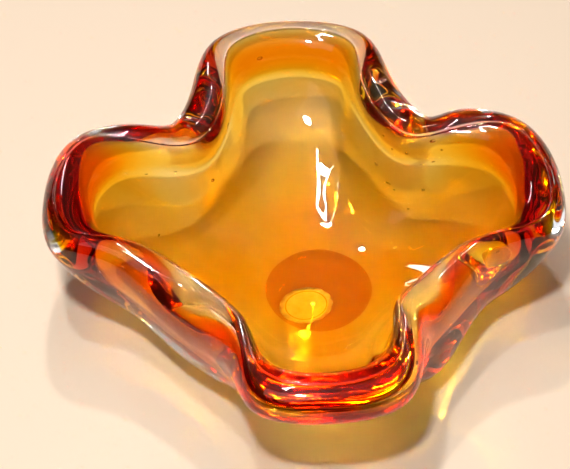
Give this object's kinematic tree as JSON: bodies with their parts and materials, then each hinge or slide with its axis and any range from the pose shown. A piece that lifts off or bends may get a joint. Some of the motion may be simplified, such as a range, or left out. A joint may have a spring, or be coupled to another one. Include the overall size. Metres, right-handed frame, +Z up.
{
  "type": "art glass bowl",
  "caption": "Heavy cased art glass bowl, amber inside a thick clear casing, with a rounded rim pressed inward into four lobes and a flat ground base ring.",
  "frame": {"origin": "centre of the ground base ring, on the plane the bowl stands on", "axes": "+Z up out of the bowl, +Y towards the back lobe, +X towards the right lobe"},
  "size_m": [0.2204, 0.2178, 0.0702],
  "materials": {
    "amber_glass": "fire-polished transparent amber",
    "clear_glass": "fire-polished transparent, colourless",
    "label_paper": "coated paper with a gold edge"
  },
  "bodies": {
    "root": {"amber_glass_layer": "amber_glass", "clear_glass_casing": "clear_glass", "base_label": "label_paper"}
  },
  "joints": []
}
